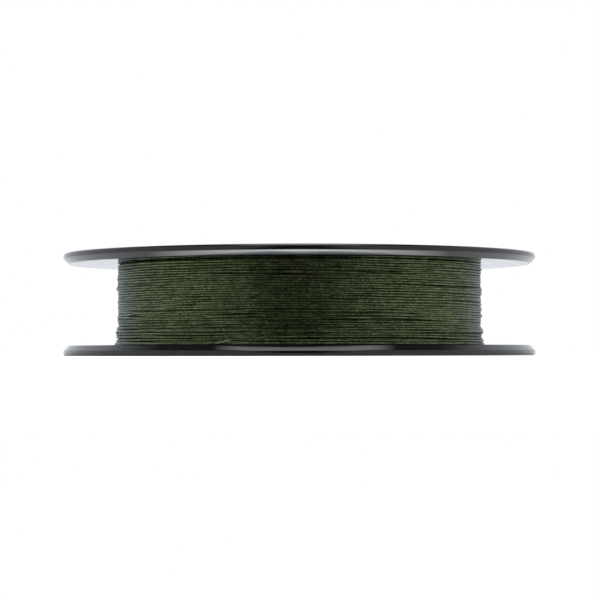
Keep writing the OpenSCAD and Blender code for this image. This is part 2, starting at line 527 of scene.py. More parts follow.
def bar(inner_r, outer_r, width, low, high, angle):
    """A radial rib: a box from one radius to another, turned to its angle."""
    x = (inner_r, outer_r)
    y = (-width / 2, width / 2)
    ring = [(x[0], y[0]), (x[0], y[1]), (x[1], y[1]), (x[1], y[0])]
    box = np.array([[(px, py, z) for px, py in ring] for z in (low, high)])
    spun = box.copy()
    spun[..., 0] = box[..., 0] * math.cos(angle) - box[..., 1] * math.sin(angle)
    spun[..., 1] = box[..., 0] * math.sin(angle) + box[..., 1] * math.cos(angle)
    return shell(spun, caps=True)


print("that section once round makes", len(lathe(sample)[1]), "faces")

# %% [markdown]
# ## Glossy black plastic
# The flanges are polished high-impact plastic. It is nearly black, and its gloss does the rest:
# dull where the view is square on, white where it is flat. A flat black would look like a hole,
# and a perfect mirror like glass. So a faint long ripple bends the reflections, as in any
# moulding, and fine hairlines run round the faces where the spools rubbed in their carton.

# %% Mix the glossy black
GLOSS_BASE = (0.0035, 0.0035, 0.004)
GLOSS_IOR = 1.5
RIPPLE_SCALE = 70
CLOUD_SCALE = 260
HAIRLINE_SCALE = 9000
HAIRLINE_WAVER = 6
HAIRLINE_FROM = 0.62
HAIRLINE_GAIN = 6


def paint_gloss(shader):
    """Roughness grows in soft clouds, and more along hairlines of equal radius and height."""
    place = shader.place()
    x, y, z = shader.xyz(place)
    radius = (x * x + y * y).math("SQRT")
    ripple = shader.noise(place, RIPPLE_SCALE, detail=1)
    cloud = shader.noise(place, CLOUD_SCALE, detail=4, roughness=0.6)
    rings = (radius * HAIRLINE_SCALE, z * HAIRLINE_SCALE, ripple * HAIRLINE_WAVER)
    hairline = shader.noise(shader.vector(*rings), 1, detail=1)
    scuffs = ((hairline - HAIRLINE_FROM) * HAIRLINE_GAIN).clamped() * cloud
    return {
        "Base Color": GLOSS_BASE,
        "IOR": GLOSS_IOR,
        "Roughness": 0.03 + cloud * 0.05 + scuffs * 0.1,
        "Normal": shader.bump(0.16, 0.4 * MM, ripple),
    }


gloss_black = finish("gloss_black", paint_gloss)

# %% [markdown]
# ## The flanges
# A flange is one moulding: a thin plate with a raised ring to stand on, a recess for the label, a
# boss round the hub, and a bevelled rim over which the line slides. On its inner face a collar
# locates the hub tube. The packed flange has the same form, but its flats and facets would show in
# the gloss, so the section is written again with all its rounds and lathed finely.

# %% Write the plate's section
FLANGE_T = 2.1 * MM
BEVEL_W = 1.055 * MM
BEVEL_TILT = math.radians(44.1)
BEVEL_ROUND = 0.35 * MM
INNER_ROUND = 0.5 * MM
OUTER_ROUND = 0.5 * MM
REST_RING_W = 3.2 * MM
RECESS = 0.45 * MM
BOSS_R = 12 * MM
HUB_HOLE_R = 7.48 * MM
HUB_HOLE_ROUND = 0.1 * MM
MOULD_ROUND = 0.15 * MM
COLLAR_R = 9.68 * MM
COLLAR_TOP = FLANGE_T + 2 * MM

spool_h = cad_box[1].z
flange_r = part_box("rear_flange")[1].x


def plate_outline():
    """The plate's section, from the hub hole out along its outer face and back along its inner."""
    bevel_inner = flange_r - BEVEL_W
    bevel_start = FLANGE_T - BEVEL_W / math.tan(BEVEL_TILT)
    ring_r = flange_r - REST_RING_W
    return rounded([
        (HUB_HOLE_R, 0, HUB_HOLE_ROUND),
        (BOSS_R, 0, MOULD_ROUND),
        (BOSS_R, RECESS, MOULD_ROUND),
        (ring_r, RECESS, MOULD_ROUND),
        (ring_r, 0, MOULD_ROUND),
        (flange_r, 0, OUTER_ROUND),
        (flange_r, bevel_start, BEVEL_ROUND),
        (bevel_inner, FLANGE_T, INNER_ROUND),
        (COLLAR_R, FLANGE_T, MOULD_ROUND),
        (COLLAR_R, COLLAR_TOP, MOULD_ROUND),
        (HUB_HOLE_R, COLLAR_TOP, MOULD_ROUND),
    ])


print("the plate's section has", len(plate_outline()), "points")

# %% [markdown]
# ## The snap ring and both flanges
# A slotted ring on the plate's inner face snaps into the drum. Its slots make it twelve springy
# fingers, each a short part of a turn, and six ribs stiffen the plate inside it. All of that is
# hidden once the spool is closed, so it is kept plain. The front flange is the rear one mirrored.

# %% Lathe both flanges
SNAP_R = 29.12 * MM
SNAP_T = 1.2 * MM
SNAP_TOP = FLANGE_T + 3 * MM
SNAP_BEAD = 0.35 * MM
BEAD_AT = FLANGE_T + 2 * MM
BEAD_HALF = 0.5 * MM
FINGERS = 12
FINGER_STEPS = 14
SLOT_W = 1.2 * MM
RIBS = 6
RIB_W = 1.4 * MM
RIB_SINK = 0.5 * MM
ROOT_Z = FLANGE_T - 0.1 * MM


def snap_outline():
    """A snap ring's section: a thin wall with a pointed bead that clicks into the drum's groove."""
    return np.array([
        (SNAP_R - SNAP_T, ROOT_Z),
        (SNAP_R, ROOT_Z),
        (SNAP_R, BEAD_AT - BEAD_HALF),
        (SNAP_R + SNAP_BEAD, BEAD_AT),
        (SNAP_R, BEAD_AT + BEAD_HALF),
        (SNAP_R, SNAP_TOP),
        (SNAP_R - SNAP_T, SNAP_TOP),
    ])


def flange_shells():
    """The plate, the snap ring's fingers and the ribs of one flange, outer face down on z = 0."""
    shells = [lathe(plate_outline())]
    share = FULL_TURN / FINGERS
    half_slot = SLOT_W / 2 / SNAP_R
    for finger in range(FINGERS):
        start = (finger - 0.5) * share + half_slot
        shells.append(lathe(snap_outline(), FINGER_STEPS, start, start + share - 2 * half_slot))
    for rib in range(RIBS):
        angle = (rib + 0.5) * FULL_TURN / RIBS
        reach = (COLLAR_R - RIB_SINK, SNAP_R - SNAP_T / 2)
        shells.append(bar(*reach, RIB_W, ROOT_Z, COLLAR_TOP, angle))
    return shells


def upside_down(shells):
    """The same shells turned over onto the spool's front: z becomes height - z, faces reversed."""
    flip = np.array([1, 1, -1])
    lift = np.array([0, 0, spool_h])
    return [(points * flip + lift, [face[::-1] for face in faces]) for points, faces in shells]


rear_flange = add_piece("rear_flange_moulding", flange_shells(), gloss_black, sharp=CRISP)
front_shells = upside_down(flange_shells())
front_flange = add_piece("front_flange_moulding", front_shells, gloss_black, sharp=CRISP)

# %% [markdown]
# ## The slit for the line's end
# The front flange has a short slit at its rim that pinches the line's end, with a round hole where
# it stops, so that the plastic doesn't tear. A lathe can't make it, so a keyhole-shaped tool is
# cut out with an exact boolean, and the result replaces the mesh, with no modifier left.

# %% Cut the slit and its relief hole
SLIT_W = 0.6 * MM
SLIT_LEN = 6 * MM
RELIEF_R = 1.0 * MM
RELIEF_STEPS = 40
THROUGH = 3 * MM


def stadium(half_width, end_r, from_y, to_y, low, high):
    """A keyhole-shaped cutter: a straight slot that ends in a round hole.

    The hole is the arc of end_r round (0, from_y) that starts and ends where the slot's sides
    meet it, at asin(half_width / end_r) from the slot's own line.
    """
    opening = math.asin(half_width / end_r)
    sweep = np.linspace(math.pi / 2 + opening, 2.5 * math.pi - opening, RELIEF_STEPS)
    hole = np.stack([end_r * np.cos(sweep), from_y + end_r * np.sin(sweep)], axis=-1)
    slot = np.array([(half_width, to_y), (-half_width, to_y)])
    ring = np.concatenate([hole, slot])[::-1]
    levels = [np.column_stack([ring, np.full(len(ring), z)]) for z in (low, high)]
    return shell(np.array(levels), caps=True)


def cut(piece, tool):
    """Takes the tool's volume out of the piece and removes the tool."""
    boolean = piece.modifiers.new("cut", "BOOLEAN")
    boolean.object = tool
    boolean.solver = "EXACT"
    result = piece.evaluated_get(bpy.context.evaluated_depsgraph_get())
    mesh = bpy.data.meshes.new_from_object(result)
    mesh.set_sharp_from_angle(angle=math.radians(CRISP))
    piece.modifiers.clear()
    piece.data = mesh
    bpy.data.objects.remove(tool)


slit_y = (flange_r - SLIT_LEN, flange_r + MM)
keyhole = stadium(SLIT_W / 2, RELIEF_R, *slit_y, spool_h - THROUGH, spool_h + MM)
cut(front_flange, add_piece("slit_tool", [keyhole], gloss_black))
print("front flange after the cut:", len(front_flange.data.polygons), "faces")

lit_by_silver = bpy.data.collections.new("lit_by_silver")
lit_by_silver.objects.link(front_flange)
reflector.light_linking.receiver_collection = lit_by_silver
for piece, node in ((rear_flange, "rear_flange"), (front_flange, "front_flange")):
    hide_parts(node)
    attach(piece, "root")

# %% [markdown]
# ## Winding the line
# No pattern of stripes looks like wound line, because each turn finds its own place. So the line
# is really wound here. A height map holds how far out the winding reaches at each angle and
# height. Each new turn is led across by the guide with a little wander, slides into the nearest
# groove, rests on what lies under it, and its tension pulls it straight over short dips. Then the
# map is raised by the turn's own thickness. Gaps, crossings and proud turns follow from that by
# themselves. The lower layers can't be seen, so only the last few are wound, on a plain core. A
# turn touches with SQUEEZE of its width, and a layer adds NESTED of its thickness, as it sinks
# into grooves.

# %% Set up the height map
LINE_W = 0.48 * MM
LINE_T = 0.33 * MM
SQUEEZE = 0.84
NESTED = 0.9
LAYERS = 5
SAMPLES = 240
CELL = 0.01 * MM
MAP_MARGIN = 0.7 * MM
FLANGE_GAP = 0.02 * MM
SEED = 11

winding_low, winding_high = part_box("line_winding")
wound_r = winding_high.x
half_w, half_t = LINE_W / 2, LINE_T / 2
lowest = winding_low.z + half_w
highest = spool_h - FLANGE_T - half_w - FLANGE_GAP
rng = np.random.default_rng(SEED)

half_cells = int(SQUEEZE * half_w / CELL)
foot = np.arange(-half_cells, half_cells + 1)
belly = half_t * np.sqrt(1 - (foot / (half_cells + 0.5)) ** 2)
map_low = winding_low.z - MAP_MARGIN
cells = int((highest + MM - map_low) / CELL)
arc_step = FULL_TURN / SAMPLES
heights = np.full((SAMPLES, cells), wound_r - (LAYERS + 0.5) * NESTED * LINE_T)
print("height map of", SAMPLES, "by", cells, "cells")

# %% [markdown]
# ## Wander
# White noise would shake each point of the line by itself. So random values are set some samples
# apart and joined by a smooth curve. Several spacings give slow sways and short ones, and a cube
# gives rare hops. Next to a flange there is less room to wander.

# %% Lead the line across
SWAYS = ((0.10, 80), (0.10, 24), (0.06, 10))
HOP_SIZE, HOP_SPACING = 0.02, 14
WANDER_ROOM = 3 * LINE_W
LEAST_WANDER = 0.2


def smooth_noise(count, spacing):
    """Random values a spacing apart, joined by the curve 3t^2 - 2t^3 between neighbours."""
    knots = rng.standard_normal(int(count / spacing) + 3)
    at = np.arange(count) / spacing
    k = at.astype(int)
    t = at - k
    ease = t * t * (3 - 2 * t)
    return knots[k] * (1 - ease) + knots[k + 1] * ease


def guided(start_z, end_z, turns):
    """Where the guide leads each sample: an even climb from edge to edge, wander, rare hops.

    A sway is a size in millimetres and a spacing in samples. Hops are such noise cubed.
    """
    count = int(round(turns * SAMPLES))
    long, middling, short = [size * smooth_noise(count, spacing) for size, spacing in SWAYS]
    hops = HOP_SIZE * smooth_noise(count, HOP_SPACING) ** 3
    wander = (long + middling) + (short + hops)
    past = math.copysign(LINE_W / 4, end_z - start_z)
    even = np.linspace(start_z - past, end_z + past, count)
    room = np.minimum(even - lowest, highest - even)
    return even + np.clip(room / WANDER_ROOM, LEAST_WANDER, 1) * wander * MM


turns_across = int(round((highest - lowest) / LINE_W))
print("one layer is", turns_across, "turns")

# %% [markdown]
# ## How a turn settles
# A line slips sideways until it lies in a groove, and its pull keeps it straight over dips. A rope
# simulation would take hours for this much line. So each sample just steps downhill on the map
# while the guide pulls it back a little, and then no sample may lie lower than tension allows.

# %% Let the line slide and pull tight
PUSH = 0.5
PULL = 0.06
SLIDES = 24
STEP = 3 * CELL
STIFF_SPAN = 4
TIGHTENINGS = 20


def running_mean(values, span):
    """The mean of each value and its neighbours up to span away, near ones counting for more."""
    kernel = np.hanning(2 * span + 3)[1:-1]
    return np.convolve(np.pad(values, span, mode="edge"), kernel / kernel.sum(), mode="valid")


def resting_radius(heights, columns, z):
    """How far out the line's middle lies: the highest contact of its rounded belly."""
    centre = np.round((z - map_low) / CELL).astype(int)
    under = heights[columns[:, None], centre[:, None] + foot[None]]
    return (under + belly[None]).max(axis=1)


def slide(heights, columns, wanted, tail_z, floor_z):
    """Moves z by PUSH times the map's slope and PULL times the way back, then smooths it."""
    wanted = np.clip(wanted, floor_z, highest)
    z = wanted
    for _ in range(SLIDES):
        above = resting_radius(heights, columns, z + STEP)
        slope = above - resting_radius(heights, columns, z - STEP)
        z = z - np.clip(PUSH * slope, -STEP, STEP) + PULL * (wanted - z)
        joined = running_mean(np.concatenate([tail_z, z]), STIFF_SPAN)
        z = np.clip(joined[len(tail_z):], floor_z, highest)
    return z


def tighten(rest, tail_r):
    """Tension pulls the line straight: r is at least its neighbours' mean less a chord's sag."""
    sag = wound_r * arc_step ** 2 / 2
    r = np.concatenate([tail_r, rest])
    for _ in range(TIGHTENINGS):
        chord = (np.append(r[1:], r[-1]) + np.insert(r[:-1], 0, r[0])) / 2 - sag
        r[len(tail_r):] = np.maximum(rest, chord[len(tail_r):])
    return r[len(tail_r):]


print("a turn settles in", SLIDES, "steps of up to", round(STEP / MM, 3), "mm")

# %% [markdown]
# ## Turn after turn
# A turn must know the one before it, so the turns are laid one at a time, and each is joined to
# the tail of the last. The layers run to and fro between the flanges, as on a winding machine.

# %% Wind the layers
TAIL = 12


def wind(heights, wanted, floor_z):
    """Lays the line along the wanted heights, a turn at a time, starting at angle 0."""
    tail_z, tail_r = wanted[:0], wanted[:0]
    laid = []
    for start in range(0, len(wanted), SAMPLES):
        stretch = wanted[start:start + SAMPLES]
        columns = np.arange(start, start + len(stretch)) % SAMPLES
        z = slide(heights, columns, stretch, tail_z, floor_z)
        r = tighten(resting_radius(heights, columns, z), tail_r)
        under = np.round((z - map_low) / CELL).astype(int)[:, None] + foot[None]
        raised = r[:, None] + belly[None]
        np.maximum.at(heights, (columns[:, None].repeat(len(foot), axis=1), under), raised)
        tail_z, tail_r = z[-TAIL:], r[-TAIL:]
        laid.append(np.stack([z, r]))
    return np.concatenate(laid, axis=1)


layers = []
for number in range(LAYERS):
    ends = (lowest, highest) if (LAYERS - number) % 2 == 0 else (highest, lowest)
    layers.append(wind(heights, guided(*ends, turns_across), lowest))
    print("layer", number + 1, "lies at", round(float(layers[-1][1].mean()) / MM, 2), "mm")

# %% [markdown]
# ## The last turns
# The winder finished with a few turns beside the rear flange. The line steps up over half a turn
# at the back, and comes down again turn by turn until it lies against the flange. There it ends.
# They are wound on the same map as the layers, so they press into the turns below as real ones do.

# %% Lay the last turns
LAST_TURNS = 5
SNUG_TURNS = 0.78
SHELF_TURNS = 0.4
DRIFT = 0.05 * MM
DRIFT_SPACING = 40
END_ARC = math.radians(4.4)

end_low, end_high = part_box("line_end")
end_angle = math.atan2(end_low.y + end_high.y, end_low.x + end_high.x) % FULL_TURN
step_up = SAMPLES // 2
last_count = int(round(SAMPLES * (LAST_TURNS + (end_angle - END_ARC) / FULL_TURN)))
corner_z = FLANGE_T + half_w + FLANGE_GAP
shelf_z = lowest + (LAST_TURNS - SHELF_TURNS) * LINE_W
ease = (1 - np.cos(np.linspace(0, math.pi, step_up))) / 2
stepped = lowest + ease * (shelf_z - lowest)
snug = np.full(int(SNUG_TURNS * SAMPLES), corner_z)
falling = last_count - step_up - len(snug)
descent = np.linspace(shelf_z, corner_z, falling) + DRIFT * smooth_noise(falling, DRIFT_SPACING)
last_z, last_r = wind(heights, np.concatenate([stepped, descent, snug]), corner_z)

shift = wound_r - half_t - float(np.median(layers[-1][1]))
layers = [(z, r + shift) for z, r in layers]
last_r = last_r + shift
core_r = float(layers[0][1].min()) - half_t
print("the last turns end at", round(math.degrees(end_angle)), "degrees, winding moved",
      round(shift / MM, 3), "mm outwards")

# %% [markdown]
# ## From paths to braid
# A tube is carried along each path: a flattened oval, wide along the spool's axis and thin towards
# it. A curve with a bevel would do that too, but gives no say in how the oval lies. The tube's UV
# map counts picks of the braid along the line and goes once round the oval, with the seam on the
# hidden inner side, so that the braid pattern follows the line wherever it goes.

# %% Carry an oval along a path
PICK = 0.6 * MM
SIDES = 8
TWIST = 0.30
TWIST_SPACING = 4


def oval_tube(angle, z, r, twist, width=LINE_W, thick=LINE_T):
    """Points P + cos(a) thick/2 outwards + sin(a) width/2 along Z, turned by the twist about P."""
    a = np.linspace(-math.pi, math.pi, SIDES, endpoint=False)[None]
    thick_way = np.cos(a) * np.reshape(thick, (-1, 1)) / 2
    width_way = np.sin(a) * np.reshape(width, (-1, 1)) / 2
    turned_cos, turned_sin = np.cos(twist)[:, None], np.sin(twist)[:, None]
    out = r[:, None] + thick_way * turned_cos - width_way * turned_sin
    up = z[:, None] + thick_way * turned_sin + width_way * turned_cos
    points = np.stack([out * np.cos(angle)[:, None], out * np.sin(angle)[:, None], up], axis=-1)
    along = np.concatenate([[0], np.cumsum(np.hypot(r[1:] * np.diff(angle), np.diff(z)))])
    u = np.repeat(along[:, None] / PICK, SIDES, axis=1)
    v = np.repeat(a / FULL_TURN + 0.5, len(r), axis=0)
    return shell(points, caps=True), np.stack([u, v], axis=-1).reshape(-1, 2)


def add_strand(name, angle, z, r, material, **sizes):
    """A length of line as a piece: an oval tube that twists a little, by smooth noise."""
    twist = TWIST * smooth_noise(len(z), TWIST_SPACING)
    tube, uv = oval_tube(angle, z, r, twist, **sizes)
    piece = add_piece(name, [tube], material, uv=uv)
    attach(piece, "root")
    return piece


def angles(z):
    """The angle of each sample of a path, from 0 at its start."""
    return np.arange(len(z)) * arc_step


print("the top layer holds", round(float(layers[-1][1].sum()) * arc_step, 2), "m of line")

# %% [markdown]
# ## Braid
# The line is gel-spun polyethylene, eight fine yarns plaited over each other and dyed olive. The
# yarns lie slanting, so the surface is a net of small shiny diamonds. Modelled yarns would take
# millions of faces, so two crossing waves over the UV map draw them, as bumps and as painted
# shade between them. The sides of each turn, where it meets its neighbours, get painted shade too,
# and small pale spots are painted glints. Light goes along the fibres more than it scatters, which
# makes the line satin rather than matt: that is why the finish is partly metallic, with an olive
# tint, and turns grey where it is seen at a flat angle.

# %% Mix the braid
BRAID = (0.188, 0.232, 0.100)
# the darkest tone, used for random dark streaks and for painted shade
BRAID_STREAK_AND_SHADE = (0.0165, 0.026, 0.010)
# the colour of the painted glints
BRAID_PAINTED_GLINT = (0.44, 0.44, 0.37)
BRAID_EDGE = (0.69, 0.71, 0.80)
YARNS = 8
# the yarn gain paints shade between yarns; the pick and bunch gains are random tone
YARN_PAINTED_SHADE, PICK_DYE, BUNCH_DYE = 0.45, 2.0, 1.6
# the crown gain paints shade on the sides of each turn, away from its crown
CROWN_MEAN, CROWN_PAINTED_SHADE, DYE_MEAN = 0.785, 0.65, 0.26
GLINT_FROM, GLINT_GAIN = 0.80, 6


def paint_braid(shader):
    """Painted shade darkens the colour between yarns and on the oval's sides, away from its crown.
    The dye is also darker in random streaks, and small pale spots are painted glints.

    A yarn is |sin(pi u +- 8 pi v)|. Picks are noise about one pick long, bunches are noise about
    five picks long, and the crown is the cosine of the angle round the oval.
    """
    u, v, _ = shader.xyz(shader.node("UVMap", {}, {}))
    left = (u * math.pi + v * YARNS * math.pi).math("SINE").math("ABSOLUTE")
    right = (u * math.pi - v * YARNS * math.pi).math("SINE").math("ABSOLUTE")
    yarn = (left + right) * 0.5
    pick = shader.noise(shader.vector(u * 1.3, v * 3), 1, detail=2)
    bunch = shader.noise(shader.vector(u * 0.2, v * 2), 1, detail=2)
    crown = ((v - 0.5) * FULL_TURN).math("COSINE")
    # painted shade between yarns, plus random tone by pick and bunch
    dye = yarn * YARN_PAINTED_SHADE + (pick - 0.5) * PICK_DYE + (bunch - 0.5) * BUNCH_DYE
    # painted shade: the oval's sides, where a turn meets its neighbours, are darker than its crown
    light = (dye + (crown - CROWN_MEAN) * CROWN_PAINTED_SHADE + DYE_MEAN).clamped()
    # painted glints: pale spots in the base colour where a pick stands high
    glint = ((pick + yarn * 0.25 - GLINT_FROM) * GLINT_GAIN).clamped()
    colour = shader.mix(light, BRAID_STREAK_AND_SHADE, BRAID)
    return {
        "Base Color": shader.mix(glint, colour, BRAID_PAINTED_GLINT),
        "Metallic": 0.96,
        "Specular Tint": BRAID_EDGE,
        "Roughness": 0.25 + pick * 0.12,
        "Normal": shader.bump(0.45, 0.05 * MM, yarn * 1.6 + pick * 1.2),
    }


braid = finish("braid", paint_braid)

# %% [markdown]
# ## The wound spool
# Each path becomes a strand, one piece for each layer, because a piece with too many faces is
# awkward to edit. Under them goes a plain ring, since no one sees the line that it stands for.

# %% Draw the layers, the last turns and the core under them
DRUM_GAP = 0.2 * MM
PACK_INNER_ROUND = 0.1 * MM
PACK_OUTER_ROUND = 0.3 * MM
HIDDEN_AROUND = 240

for number, (z, r) in enumerate(layers):
    strand = add_strand(f"line_layer_{number + 1}", angles(z), z, r, braid)
    if number == LAYERS - 1:
        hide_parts("line_winding")
last = add_strand("line_last_turns_wound", angles(last_z), last_z, last_r, braid)
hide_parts("line_last_turns")

drum_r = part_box("core_drum")[1].x
pack_section = rounded([
    (drum_r + DRUM_GAP, winding_low.z, PACK_INNER_ROUND),
    (core_r, winding_low.z, PACK_OUTER_ROUND),
    (core_r, winding_high.z, PACK_OUTER_ROUND),
    (drum_r + DRUM_GAP, winding_high.z, PACK_INNER_ROUND),
])
pack_shell = lathe(pack_section, HIDDEN_AROUND)
pack = add_piece("line_under_layers", [pack_shell], braid, sharp=40)
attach(pack, "root")

# %% [markdown]
# ## The cut end
# The end of the line climbs out of the last turn, crosses the turn beside it and stops where it
# was cut. It is one more strand, whose path leaves the winding along half a cosine wave, and it
# thins a little towards its tip.

# %% Lift the end
END_STEPS = 16
END_LEN = 3.4 * MM
END_RISE = 0.45 * MM
END_OUT = 0.30 * MM
END_THIN = 0.85

along = np.linspace(0, END_LEN, END_STEPS)
lift = (1 - np.cos(along / END_LEN * math.pi)) / 2
end_z = last_z[-1] + lift * END_RISE
end_r = last_r[-1] + lift * END_OUT
end_at = angles(last_z)[-1] + along / last_r[-1]
taper = np.linspace(1, END_THIN, END_STEPS)
sizes = {"width": LINE_W * taper, "thick": LINE_T * taper}
end = add_strand("line_cut_end", end_at, end_z, end_r, braid, **sizes)
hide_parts("line_end")

# %% [markdown]
# ## The frayed tip
# Polyethylene fibres are white inside and only dyed on the outside, and a cut braid opens a
# little, so the tip is a small tuft of pale fibres. Hair particles would be lost in the export, so
# each fibre is a thin tube of its own.

# %% Fray the tip
FIBRES = 12
FIBRE_D = 0.06 * MM
FIBRE_STEPS = 8
FIBRE_DEEP = (0.26, 0.28, 0.18)
FIBRE_PALE = (0.78, 0.78, 0.70)
ON_SKIN = (0.12, 0.17)
OPENS_FROM, OPENS_BY = 0.8, 0.8
OUTWARD_BIAS = 0.4


def paint_fibre(shader):
    """Pale, with darker flecks where dye is left."""
    tone = shader.noise(shader.place(), 9000, detail=1)
    return {"Base Color": shader.mix(tone, FIBRE_DEEP, FIBRE_PALE), "Roughness": 0.4}


def fibre_tube(start, stop, sideways, outward):
    """One fibre from `start` to `stop`, shares of the cut end's length.

    It keeps to the strand's skin, and from OPENS_FROM on it leaves it in a straight line.
    """
    share = np.linspace(start, stop, FIBRE_STEPS)
    opened = np.clip(share - OPENS_FROM, 0, None) * OPENS_BY
    angle = np.interp(share, (0, 1), (end_at[0], end_at[-1]))
    angle += np.clip(share - 1, 0, None) * END_LEN / wound_r
    z = np.interp(share, along / END_LEN, end_z) + (ON_SKIN[0] + opened) * sideways * MM
    out = ON_SKIN[1] + opened * (outward + OUTWARD_BIAS)
    r = np.interp(share, along / END_LEN, end_r) + out * MM
    tube, _ = oval_tube(angle, z, r, 0 * share, width=FIBRE_D, thick=FIBRE_D)
    return tube


fibres = []
for _ in range(FIBRES):
    start, stop = rng.uniform(0.1, 0.8), rng.uniform(1.0, 1.12)
    fibres.append(fibre_tube(start, stop, *rng.uniform(-1, 1, 2)))
tuft = add_piece("line_cut_fibres", fibres, finish("cut_fibre", paint_fibre))
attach(tuft, "root")

# %% [markdown]
# ## The core drum
# The drum is one moulding: a wall that the line is wound on, a web across its middle, ribs, and
# the hub tube that the spindle goes through. Only the tube's ends and its bore are ever seen. The
# bore isn't round, because two drive slots run along it. They could be cut with a boolean, but it
# is cleaner to draw the ring point by point and carry the tube's section round it.

# %% Shape the hub tube
HUB_R = 7.4 * MM
BORE_R = 5.2 * MM
BORE_STEPS = 60
MOUTH = 0.4 * MM
KEY_W = 2.2 * MM
KEY_R = 6.3 * MM


def bore_ring(bore_r):
    """Once round the bore: each half is an arc, then the two far corners of a drive slot."""
    start = math.asin(KEY_W / 2 / bore_r)
    sweep = np.linspace(start, math.pi - start, BORE_STEPS)
    arc = np.stack([bore_r * np.cos(sweep), bore_r * np.sin(sweep)], axis=-1)
    corners = np.array([(-KEY_R, KEY_W / 2), (-KEY_R, -KEY_W / 2)])
    half = np.concatenate([arc, corners])
    return np.concatenate([half, -half])


def hub_shell():
    """The section carried round: outside up, then over the mouth's chamfer and down the bore."""
    bore, mouth = bore_ring(BORE_R), bore_ring(BORE_R + MOUTH)
    outside = bore / np.hypot(bore[:, 0], bore[:, 1])[:, None] * HUB_R
    rows = [(outside, 0), (outside, spool_h), (mouth, spool_h), (bore, spool_h - MOUTH)]
    rows += [(bore, MOUTH), (mouth, 0)]
    section = [np.column_stack([ring, np.full(len(ring), z)]) for ring, z in rows]
    return shell(np.stack(section, axis=1), wrap_rows=True)


print("the hub tube has", len(hub_shell()[1]), "faces")

# %% [markdown]
# ## The drum's walls and its plastic
# The wall and the web are plain rings, and the web and the ribs sink a millimetre into their
# neighbours, so that no gap opens. The plastic is the flanges', but the mould wasn't polished. So
# it is satin, with a fine grain and the faint streaks that the melt leaves as it flows.

# %% Build the drum
DRUM_WALL = 1.8 * MM
WEB_T = 1.6 * MM
DRUM_RIB = 1.4 * MM
RIB_END = FLANGE_T + 3.3 * MM
DRUM_ROUND = 0.1 * MM
WEB_AROUND = 120
HUB_DARK = (0.007, 0.007, 0.008)
HUB_PALE = (0.014, 0.014, 0.016)
FLOW_ACROSS, FLOW_ALONG = 900, 60

inner_wall = drum_r - DRUM_WALL
middle = spool_h / 2
wall = (inner_wall, drum_r, FLANGE_T, spool_h - FLANGE_T)
web = (HUB_R - MM, inner_wall + MM, middle - WEB_T / 2, middle + WEB_T / 2)
drum_shells = [
    hub_shell(),
    lathe(ring_section(*wall, DRUM_ROUND), HIDDEN_AROUND),
    lathe(ring_section(*web, DRUM_ROUND), WEB_AROUND),
]
for rib in range(RIBS):
    turn = rib * FULL_TURN / RIBS
    drum_shells.append(bar(HUB_R - MM, inner_wall + MM, DRUM_RIB, RIB_END, spool_h - RIB_END, turn))


def paint_hub(shader):
    """Two near blacks in clouds, with streaks that are 15 times as long as they are wide."""
    place = shader.place()
    x, y, z = shader.xyz(place)
    cloud = shader.noise(place, 420, detail=4, roughness=0.6)
    melt = shader.vector(x * FLOW_ACROSS, y * FLOW_ACROSS, z * FLOW_ALONG)
    flow = shader.noise(melt, 1, detail=2)
    grain = shader.noise(place, 5000, detail=2)
    return {
        "Base Color": shader.mix(cloud, HUB_DARK, HUB_PALE),
        "Roughness": 0.24 + cloud * 0.14 + flow * 0.06,
        "Normal": shader.bump(0.25, 0.05 * MM, grain + flow * 0.5),
    }


drum = add_piece("core_drum_moulding", drum_shells, finish("hub_black", paint_hub), sharp=30)
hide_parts("core_drum")
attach(drum, "root")

# %% [markdown]
# ## The tape under the first turns
# A strip of paper tape keeps the first turns from slipping on the smooth drum. It is buried under
# the line, so the packed ring is kept as it is and only gets its finish: crepe paper with fine
# creases across the strip. A mesh that is packed already keeps its shape, and takes a material in
# its slots as any other does.

# %% Finish the tape
BUFF = (0.50, 0.42, 0.24)
BUFF_PALE = (0.62, 0.54, 0.34)
CREASE_ROUND, CREASE_ALONG = 2600, 150


def paint_tape(shader):
    """Buff paper in two stained tones, with creases that are long across the strip."""
    place = shader.place()
    x, y, z = shader.xyz(place)
    folds = shader.vector(x * CREASE_ROUND, y * CREASE_ROUND, z * CREASE_ALONG)
    crease = shader.noise(folds, 1, detail=3)
    stain = shader.noise(place, 60, detail=3)
    return {
        "Base Color": shader.mix(stain, BUFF, BUFF_PALE),
        "Roughness": 0.55 + crease * 0.3,
        "Normal": shader.bump(0.6, 0.08 * MM, crease),
    }


tape_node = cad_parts["arbor_tape"]
tape_node.data.materials.clear()
tape_node.data.materials.append(finish("tape", paint_tape))

# %% [markdown]
# ## Labels
# Each outer face has a printed film in its recess. Nothing is written on them here. The front film
# is dark olive with a band of fine woven hatching between pale rings, and the rear one is plain
# silver grey with a few dark rings. An image could hold such a print, but a formula of the
# distance from the axis and the angle round it stays sharp at any distance.

# %% Mask a printed ring
RING_SOFTNESS = 0.05 * MM


def polar(shader):
    """The distance from the axis and the angle round it."""
    x, y, _ = shader.xyz(shader.place())
    return (x * x + y * y).math("SQRT"), y.math("ARCTAN2", x)


def ring_mask(radius, at, half_width):
    """1 within half_width of the radius `at`, both in mm, falling to 0 over RING_SOFTNESS."""
    off = (radius - at * MM).math("ABSOLUTE")
    return ((half_width * MM - off) / RING_SOFTNESS + 0.5).clamped()


def ring_masks(radius, rings):
    """The sum of the masks of several (radius, half width) rings that don't overlap."""
    first, *others = [ring_mask(radius, *ring) for ring in rings]
    return sum(others, first)


print("a ring's edge is", round(RING_SOFTNESS / MM, 2), "mm soft")

# %% [markdown]
# ## The front film
# The hatching is the product of two waves that cross at a slant, so it is pale where both are high
# or both are low, like a fine net. A circle of short ticks lies inside it and says nothing.

